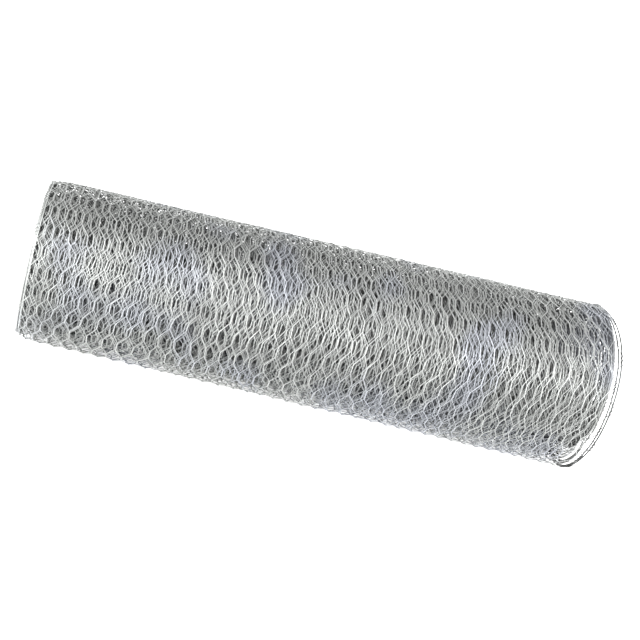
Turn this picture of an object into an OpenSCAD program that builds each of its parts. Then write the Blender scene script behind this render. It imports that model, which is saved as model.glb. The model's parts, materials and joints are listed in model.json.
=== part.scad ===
// Roll of galvanised hexagonal wire netting, lying on its side on a level floor.
// One sheet of netting is wound turn over turn round an open bore. The turns are
// looser toward one end, so the roll is slightly conical, and its axis leans up by
// the same angle as its side, with the whole underside on the floor.
// The wound sheet is a turned solid, and each end shows the edge of every turn.
// Frame: X along the roll, wide end at +X; origin under the middle, on the floor.

/* [Netting] */
// Width of the sheet of netting, which is the length of the roll
netting_width = 500; // [250:1:1200]
// Diameter of the wire along each edge of the sheet
edge_wire_d = 1.1; // [0.6:0.05:1.3]

/* [Roll] */
// Number of turns from the bore to the outside
turns = 36; // [8:1:44]
// Diameter over the outermost turn at the tightly wound end
narrow_end_d = 136; // [112:1:200]
// Diameter over the outermost turn at the loosely wound end
wide_end_d = 154; // [112:1:220]
// Diameter of the open bore down the middle
bore_d = 30; // [12:1:48]

/* [Ends] */
// Depth of the groove between the edges of two turns
turn_groove_depth = 1.5; // [0.5:0.1:4]

/* [Hidden] */
$fn = 180;

bore_r = bore_d / 2;
narrow_r = narrow_end_d / 2;
wide_r = wide_end_d / 2;

// Angle between the side of the roll and its axis
side_angle = atan((wide_r - narrow_r) / netting_width);

// Middle of the lying roll along X, from the centre of its narrow end
middle_x = (netting_width * cos(side_angle)
            + (wide_r - narrow_r) * abs(sin(side_angle))) / 2;

// Radial distance from one turn to the next at an end of outer radius end_r
function turn_pitch(end_r) = (end_r - bore_r - edge_wire_d) / (turns - 1);

// Outline of one end from the bore outward: a flat edge for each turn, and a
// V groove between it and the next. face_y is the height of the edges, and
// groove_y is the height of the bottoms of the grooves.
function end_outline(end_r, face_y, groove_y) = [
    for (turn = [0 : turns - 1])
        let (
            edge_r = bore_r + turn * turn_pitch(end_r),
            groove_r = edge_r + (edge_wire_d + turn_pitch(end_r)) / 2
        )
        each [
            [edge_r, face_y],
            [edge_r + edge_wire_d, face_y],
            if (turn < turns - 1) [groove_r, groove_y]
        ]
];

function reversed(points) = [for (i = [len(points) - 1 : -1 : 0]) points[i]];

// The wound sheet standing on its narrow end, with its axis on Z
module wound_netting() {
    rotate_extrude()
        polygon(concat(
            end_outline(narrow_r, 0, turn_groove_depth),
            reversed(end_outline(wide_r, netting_width, netting_width - turn_groove_depth))
        ));
}

// The roll laid on the floor
module rolled_netting() {
    color("silver")
        translate([-middle_x, 0, narrow_r * cos(side_angle)])
            rotate([0, 90 - side_angle, 0])
                wound_netting();
}

rolled_netting();
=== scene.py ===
import json
from math import atan2, cos, pi, radians, sin, tan

import bpy
import numpy as np
from mathutils import Matrix, Vector, noise


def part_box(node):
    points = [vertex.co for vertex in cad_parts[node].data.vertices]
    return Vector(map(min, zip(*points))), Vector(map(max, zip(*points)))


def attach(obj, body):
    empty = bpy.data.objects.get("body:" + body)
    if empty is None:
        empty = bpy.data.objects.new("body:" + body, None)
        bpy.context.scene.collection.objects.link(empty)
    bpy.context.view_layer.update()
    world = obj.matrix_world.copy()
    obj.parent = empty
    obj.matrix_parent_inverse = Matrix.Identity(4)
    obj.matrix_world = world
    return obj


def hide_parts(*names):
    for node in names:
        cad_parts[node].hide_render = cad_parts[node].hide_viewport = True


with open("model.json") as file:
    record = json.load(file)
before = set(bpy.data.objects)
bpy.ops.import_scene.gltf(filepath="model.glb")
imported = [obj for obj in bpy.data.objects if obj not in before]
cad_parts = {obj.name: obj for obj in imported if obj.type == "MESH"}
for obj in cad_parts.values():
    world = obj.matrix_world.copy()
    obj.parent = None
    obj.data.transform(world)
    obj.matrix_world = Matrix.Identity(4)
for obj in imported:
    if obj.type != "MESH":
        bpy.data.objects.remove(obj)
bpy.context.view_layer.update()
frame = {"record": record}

bpy.ops.object.select_all(action="DESELECT")


# ---- The way the sheet is wound ----
# The netting comes off the loom as one long sheet and is rolled up turn on turn round
# an open middle. The turns are looser toward the right end, so the roll is slightly
# conical, and the last turns have sprung away in front, where nothing holds them.

bore = next(mount for mount in frame["record"]["mounts"] if mount["name"] == "bore")
sheet_width = bore["dims"]["length_mm"] / 1000
bore_radius = bore["dims"]["r_mm"] / 1000
roll_top_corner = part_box("rolled_netting")[1]

turns = 36
wire_radius = 0.00036
edge_wire_radius = 0.0008
left_slack = 0.0115
right_slack = 0.0145

# The turned solid is round. Its radius is that of the tight roll and a share of the
# slack, so its size is between the roll's height and its width over the loose turns.
# The middle of its axis is as high as the mean of the radii of its two ends.
left_slack_share = 0.23
right_slack_share = 0.33
solid_right_radius = roll_top_corner.y
solid_left_radius = 2 * bore["pos_m"][2] - solid_right_radius
left_radius = solid_left_radius - left_slack_share * left_slack
right_radius = solid_right_radius - right_slack_share * right_slack

lean = atan2(right_radius - left_radius, sheet_width)
along_axis = np.array([cos(lean), 0, sin(lean)])
floorward = np.array([sin(lean), 0, -cos(lean)])
backward = np.array([0, 1, 0])
left_centre = np.array([
    -sheet_width * cos(lean) / 2,
    (left_slack + right_slack) / 4,
    left_radius * cos(lean),
])

# The middle of the sheet's thickness is outside the bore by half the thickness of a
# joint, and inside the outline by half that of the wrapped edge wire and a small gap.
outline_gap = 0.0004
inner_radius = bore_radius + 2 * wire_radius
outer_depth = edge_wire_radius + 2 * wire_radius + outline_gap

# The turns lie closer together toward the outside, and their left ends are drawn in.
closeness = 0.85
drawn_in = 0.003
drawn_in_width = 0.010

# The slack is largest on the front, this much below the level of the axis. It fades out
# toward the floor and over the top, and at the right end it reaches further round.
slack_slope = radians(35)
slack_down = radians(52)
slack_up_left = radians(65)
slack_up_right = radians(155)
slack_full_right = radians(80)

# More turns hang loose below and at the left than in the upper part of the right end.
# The last turn has also slid along the roll, and stands out at the right end.
first_loose_turn = 24
first_loose_turn_right = 32.9
fully_loose_turn = 35.3
upper_part = radians(60)
slid_out = 0.002
first_slid_turn = turns - 1.5


def section(angle, share, lift):
    """Distance floorward and backward from the axis of a point that is wound through
    angle, at a share of the width from the left end, and lifted off the sheet."""
    turned = angle / (2 * pi)
    end_reach = np.clip(1 - share * sheet_width / drawn_in_width, 0, 1)
    outer = left_radius + (right_radius - left_radius) * share - outer_depth
    outer = outer - drawn_in * end_reach ** 2
    wound_on = turned / turns * (1 + closeness * (1 - turned / turns))

    from_slack = (angle + pi / 2 - slack_slope + pi) % (2 * pi) - pi
    below = from_slack > 0
    full = np.where(below, 0, slack_full_right * share ** 2)
    slack_up = slack_up_left + (slack_up_right - slack_up_left) * share
    none = np.where(below, slack_down, slack_up)
    fade = np.clip((none - np.abs(from_slack)) / (none - full), 0, 1)
    fade = fade * fade * (3 - 2 * fade)

    upper = np.clip(0.5 - from_slack / upper_part, 0, 1)
    first_loose = first_loose_turn + (first_loose_turn_right - first_loose_turn) * share * upper
    looseness = np.clip((turned - first_loose) / (fully_loose_turn - first_loose), 0, 1)
    slack = (left_slack + (right_slack - left_slack) * share) * looseness * fade
    radius = inner_radius + (outer - inner_radius) * wound_on + slack + lift
    return radius * np.cos(angle), radius * np.sin(angle)


# The length of sheet wound on, against the angle that it has turned through
steps_in_turn = 120
course_angle = np.linspace(0, 2 * pi * turns, steps_in_turn * turns + 1)
course = section(course_angle, 0.5, 0)
course_length = np.concatenate([[0], np.cumsum(np.hypot(*np.diff(course)))])


def wound(across, along, lift):
    """Places on the roll of points of the flat sheet: across from its left edge,
    along from its inner end, and lifted off it outward."""
    angle = np.interp(along, course_length, course_angle)
    down, back = section(angle, across / sheet_width, lift)
    slid = slid_out * np.clip(angle / (2 * pi) - first_slid_turn, 0, 1)
    return (left_centre + np.outer(across + slid, along_axis)
            + np.outer(down, floorward) + np.outer(back, backward))


# ---- The netting ----
# Zinc-coated steel wires are twisted together in pairs, one and a half turns each
# time, and every wire then crosses to its next neighbour, which leaves six-sided
# meshes. At the edges the wires wind round a thicker edge wire and go back in.

columns = 39
half_pitch = sheet_width / columns / 2
row_pitch = 0.019
joint_length = 0.010
joint_twist = 3 * pi
wrap_twist = 6 * pi
wrap_radius = edge_wire_radius + wire_radius

rows = int(course_length[-1] / row_pitch) // 2 * 2
inner_end = course_length[-1] - rows * row_pitch

# Real netting is uneven. Its wires sway sideways in long and short waves, its joints
# shift along the sheet, each turn wanders along the roll, and the sheet puffs out.
long_sway = 0.0022
long_sway_wave = 0.11
short_sway = 0.0014
short_sway_wave = 0.03
shift = 0.0018
shift_wave = 0.04
wander = 0.0036
wander_at_edge = 0.3
wander_length = 0.45
puff = 0.0002
puff_wave = 0.05
steady_edge = 0.03


def ripple(across, along, size, seed):
    """Smooth unevenness between about -1 and 1, with waves of a given size."""
    return np.array([
        2 * noise.noise((a / size, b / size, seed)) for a, b in zip(across, along)
    ])


def laid(across, along, lift):
    """A path on the flat sheet with the unevenness of real netting, wound onto the
    roll. The sway and most of the wander die out toward the two edge wires."""
    inside = np.clip(np.minimum(across, sheet_width - across) / steady_edge, 0, 1)
    sway = (long_sway * ripple(across, along, long_sway_wave, 3.1)
            + short_sway * ripple(across, along, short_sway_wave, 7.7))
    shifted = along + shift * ripple(across, along, shift_wave, 11.3)
    wandered = wander * ripple(0 * across, along / wander_length, 1.0, 17.9)
    wandered = wandered * (wander_at_edge + (1 - wander_at_edge) * inside)
    puffed = lift + puff * ripple(across, along, puff_wave, 23.5)
    return wound(across + inside * sway, shifted, puffed) + np.outer(wandered, along_axis)


def wire_path(place, heading, first_row, end_row, joint_turn, wrap_turn):
    """A wire's path on the flat sheet. It starts below first_row, heading right (1) or
    left (-1) to the joint that lies place half-meshes from the left edge."""
    across = [[(place - heading / 2) * half_pitch]]
    along = [[inner_end + first_row * row_pitch]]
    lift = [[0]]
    for row in range(first_row, end_row):
        middle = inner_end + (row + 0.5) * row_pitch
        if place in (0, 2 * columns):
            heading = -heading
            turn, reach = wrap_turn, wrap_radius
        else:
            turn, reach = joint_turn, wire_radius
        across.append(place * half_pitch + heading * reach * np.cos(turn))
        half_joint = joint_length / 2 if len(turn) > 1 else 0
        along.append(middle + np.linspace(-half_joint, half_joint, len(turn)))
        lift.append(heading * reach * np.sin(turn))
        place += heading
    across.append([(place - heading / 2) * half_pitch])
    along.append([inner_end + end_row * row_pitch])
    lift.append([0])
    return np.concatenate(across), np.concatenate(along), np.concatenate(lift)


def wire_die(name, radius, sides):
    """The section that a wire is drawn to."""
    bpy.ops.mesh.primitive_circle_add(vertices=sides, radius=radius)
    bpy.ops.object.convert(target="CURVE")
    die = bpy.context.object
    die.name = name
    return die


def drawn(name, paths, die):
    """Wires drawn through a die along their paths, as one mesh."""
    curve = bpy.data.curves.new(name, "CURVE")
    curve.dimensions = "3D"
    curve.bevel_mode = "OBJECT"
    curve.bevel_object = die
    curve.use_fill_caps = True
    for path in paths:
        spline = curve.splines.new("POLY")
        spline.points.add(len(path) - 1)
        spline.points.foreach_set("co", np.column_stack([path, np.ones(len(path))]).ravel())
    piece = bpy.data.objects.new(name, curve)
    bpy.context.collection.objects.link(piece)
    bpy.ops.object.select_all(action="DESELECT")
    piece.select_set(True)
    bpy.context.view_layer.objects.active = piece
    bpy.ops.object.convert(target="MESH")
    bpy.ops.object.shade_smooth()
    return bpy.context.object


def row_at(turn):
    """The number of rows, always even, that the sheet has up to a turn of the roll."""
    length = np.interp(2 * pi * turn, course_angle, course_length - inner_end)
    return max(0, round(length / row_pitch / 2) * 2)


def netting(name, first_turn, end_turn, sides, joint_steps, wrap_steps, edge_step):
    """The stretch of the sheet between two turns of the roll. The joints of turns that
    lie deep inside are a single crossing, with joint_steps 0, or a quarter turn, with 1."""
    if joint_steps > 1:
        joint_turn = np.linspace(pi, pi + joint_twist, joint_steps + 1)
        wrap_turn = np.linspace(0, wrap_twist, wrap_steps + 1)
    else:
        joint_turn = np.array([3 * pi / 4, pi / 4] if joint_steps else [pi / 2])
        wrap_turn = np.linspace(0, 2 * pi, wrap_steps + 1)

    first_row = row_at(first_turn)
    end_row = row_at(end_turn)
    wires = [
        laid(*wire_path(2 * column + 1, heading, first_row, end_row, joint_turn, wrap_turn))
        for column in range(columns)
        for heading in (1, -1)
    ]
    start = inner_end + first_row * row_pitch
    end = inner_end + end_row * row_pitch
    edge_along = np.linspace(start, end, round((end - start) / edge_step))
    flat = np.zeros_like(edge_along)
    edge_wires = [laid(flat + edge, edge_along, flat) for edge in (0, sheet_width)]

    die = wire_die("die", wire_radius, sides)
    edge_die = wire_die("edge_die", edge_wire_radius, sides)
    sheet = drawn(name, wires, die)
    edges = drawn(name + "_edges", edge_wires, edge_die)
    bpy.ops.object.select_all(action="DESELECT")
    edges.select_set(True)
    sheet.select_set(True)
    bpy.context.view_layer.objects.active = sheet
    bpy.ops.object.join()
    bpy.data.objects.remove(die)
    bpy.data.objects.remove(edge_die)
    sheet.data.materials.clear()
    sheet.data.materials.append(galvanised)
    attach(sheet, "root")
    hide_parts("rolled_netting")


class Shade:
    """A socket of a material's shader, which Python's own arithmetic works on."""

    def __init__(self, tree, socket=None):
        self.tree = tree
        self.socket = socket

    def node(self, kind, settings, inputs, output=0):
        made = self.tree.nodes.new(kind)
        for name, value in settings.items():
            setattr(made, name, value)
        for name, value in inputs.items():
            if isinstance(value, Shade):
                self.tree.links.new(value.socket, made.inputs[name])
            else:
                made.inputs[name].default_value = value
        return Shade(self.tree, made.outputs[output])

    def math(self, operation, a, b):
        return self.node("ShaderNodeMath", {"operation": operation}, {0: a, 1: b})

    def ranged(self, low, high, start=0.0, end=1.0):
        """A value that goes from start to end as this one goes from low to high."""
        return self.node("ShaderNodeMapRange", {}, {
            "Value": self, "From Min": low, "From Max": high, "To Min": start, "To Max": end,
        })

    def __add__(self, other):
        return self.math("ADD", self, other)

    def __mul__(self, other):
        return self.math("MULTIPLY", self, other)

    def __sub__(self, other):
        return self.math("SUBTRACT", self, other)

    def __rsub__(self, other):
        return self.math("SUBTRACT", other, self)

    __radd__ = __add__
    __rmul__ = __mul__


# Hot-dip zinc is a spangled, half dull silver grey, in places a little bluer.
grey_zinc = (0.42, 0.43, 0.42, 1)
blue_zinc = (0.405, 0.42, 0.45, 1)
grain_share = 0.4
dull_tone = 0.25
bright_roughness = 0.42
dull_roughness = 0.56
grain_depth = 0.0001
grain_strength = 0.2

galvanised = bpy.data.materials.new("galvanised_wire")
galvanised.use_nodes = True
shader = galvanised.node_tree.nodes["Principled BSDF"]
shade = Shade(galvanised.node_tree)
place = shade.node("ShaderNodeTexCoord", {}, {}, "Object")
patches = shade.node("ShaderNodeTexNoise", {}, {"Vector": place, "Scale": 45, "Detail": 3})
tints = shade.node("ShaderNodeTexNoise", {}, {"Vector": place, "Scale": 14, "Detail": 1})
grain = shade.node("ShaderNodeTexNoise", {}, {"Vector": place, "Scale": 900, "Detail": 2})
dull = ((1 - grain_share) * patches + grain_share * grain).ranged(0.38, 0.62)
blue = tints.ranged(0.5, 0.62)
zinc = shade.node("ShaderNodeMix", {"data_type": "RGBA"}, {0: blue, 6: grey_zinc, 7: blue_zinc}, 2)

# Painted shade: the wires are coloured darker the deeper their turn lies inside the roll, where
# the outer turns shade them, except close to the left end.
left_rim = 0.010
shallow = 0.003
deep = 0.012
deep_painted_shade = 0.45
x, y, z = (shade.node("ShaderNodeSeparateXYZ", {}, {0: place}, letter) for letter in "XYZ")
from_left = x + sheet_width / 2
outline = left_radius + tan(lean) * from_left
below_axis = outline - z
before_axis = left_centre[1] - y
depth = outline - shade.math("POWER", below_axis * below_axis + before_axis * before_axis, 0.5)
inside = from_left.ranged(left_rim, 2 * left_rim)
depth_painted_shade = depth.ranged(shallow, deep, 0.0, deep_painted_shade)

# Painted shade, darker still close to the right end, whose side faces away from the lamp, most of
# all on the loose turns.
right_rim = 0.005
right_edge = 0.001
loose_stand_off = 0.004
loose_end_painted_shade = 0.78
core_end_painted_shade = 0.28
near_end = x.ranged(sheet_width / 2 - right_rim, sheet_width / 2 - right_edge)
end_painted_shade = depth.ranged(-loose_stand_off, 0.0, loose_end_painted_shade, core_end_painted_shade)

# The wires' colour carries the painted shade of the deep turns and of the right end, and the
# zinc's own dull spangles.
tone = (1.0 - inside * depth_painted_shade) * (1.0 - near_end * end_painted_shade) * (1.0 - dull_tone * dull)
colour = shade.node("ShaderNodeMix", {"data_type": "RGBA"}, {0: tone, 6: (0, 0, 0, 1), 7: zinc}, 2)
rough = bright_roughness + (dull_roughness - bright_roughness) * dull
bump = shade.node("ShaderNodeBump", {}, {
    "Height": grain, "Strength": grain_strength, "Distance": grain_depth,
})
for name, value in (("Base Color", colour), ("Roughness", rough), ("Normal", bump)):
    galvanised.node_tree.links.new(value.socket, shader.inputs[name])
shader.inputs["Metallic"].default_value = 1.0

# Inner turns show only through the outer ones, so they are made more simply.
netting("tight_turns_inner", 0, 16, sides=3, joint_steps=0, wrap_steps=4, edge_step=0.006)
netting("tight_turns_middle", 16, 24, sides=3, joint_steps=0, wrap_steps=4, edge_step=0.006)
netting("tight_turns_outer", 24, 29, sides=3, joint_steps=1, wrap_steps=4, edge_step=0.006)
netting("top_turns", 29, 33, sides=3, joint_steps=3, wrap_steps=8, edge_step=0.004)
netting("first_loose_turn", 33, 34, sides=3, joint_steps=8, wrap_steps=18, edge_step=0.004)
netting("second_loose_turn", 34, 35, sides=3, joint_steps=8, wrap_steps=18, edge_step=0.004)
netting("outermost_turn", 35, 36, sides=4, joint_steps=8, wrap_steps=18, edge_step=0.004)


# ---- The floor and the light ----
# The roll lies on a pale matt floor in an evenly lit white room. One very broad lamp,
# in front, to the left and above, gives the wires their light side and dark side.

bpy.ops.mesh.primitive_plane_add(size=12)
floor = bpy.context.object
floor.name = "floor"
floor_finish = bpy.data.materials.new("pale_floor")
floor_finish.use_nodes = True
floor_shader = floor_finish.node_tree.nodes["Principled BSDF"]
floor_shader.inputs["Base Color"].default_value = (0.9, 0.9, 0.9, 1)
floor_shader.inputs["Roughness"].default_value = 0.9
floor.data.materials.append(floor_finish)

world = bpy.data.worlds.new("studio")
bpy.context.scene.world = world
world.use_nodes = True
background = world.node_tree.nodes["Background"]
background.inputs["Color"].default_value = (1, 1, 1, 1)
background.inputs["Strength"].default_value = 1.7
bpy.context.scene.view_settings.view_transform = "Standard"

bpy.ops.object.light_add(type="SUN", rotation=(radians(38), radians(-28), 0))
key_light = bpy.context.object
key_light.name = "key_light"
key_light.data.energy = 8.5
key_light.data.angle = radians(70)


# ---- The camera ----
# The roll is seen from in front and 45 degrees above. The camera stands nearly opposite
# its left end, is turned toward its middle, and is rolled so that it runs downhill.

elevation = radians(45)
camera_distance = 0.942
camera_along = 0.0657
turn_right = 0.194
tip_up = 0.003525
image_tilt = radians(13.2)
seen_slack = 0.44

# The slack moves the middle of each end's outline down in the view by nearly half of it.
upward_in_view = np.array([0, sin(elevation), cos(elevation)])
right_centre = left_centre + sheet_width * along_axis
right_centre[2] = right_radius * cos(lean)
left_middle = Vector(left_centre - upward_in_view * left_slack * seen_slack)
right_middle = Vector(right_centre - upward_in_view * right_slack * seen_slack)

roll_axis = (right_middle - left_middle).normalized()
toward = Vector((0, -cos(elevation), sin(elevation)))
toward = (toward - toward.dot(roll_axis) * roll_axis).normalized()
upward = toward.cross(roll_axis)
spot = left_middle + camera_along * roll_axis + camera_distance * toward

level_forward = roll_axis * sin(turn_right) - toward * cos(turn_right)
level_right = roll_axis * cos(turn_right) + toward * sin(turn_right)
forward = level_forward * cos(tip_up) + upward * sin(tip_up)
tipped_up = upward * cos(tip_up) - level_forward * sin(tip_up)
right = level_right * cos(image_tilt) + tipped_up * sin(image_tilt)
above = tipped_up * cos(image_tilt) - level_right * sin(image_tilt)

bpy.ops.object.camera_add()
camera = bpy.context.object
camera.name = "camera"
camera.data.lens = 60.6375
camera.data.sensor_width = 36
camera.matrix_world = Matrix((right, above, -forward)).transposed().to_4x4()
camera.location = spot
bpy.context.scene.camera = camera
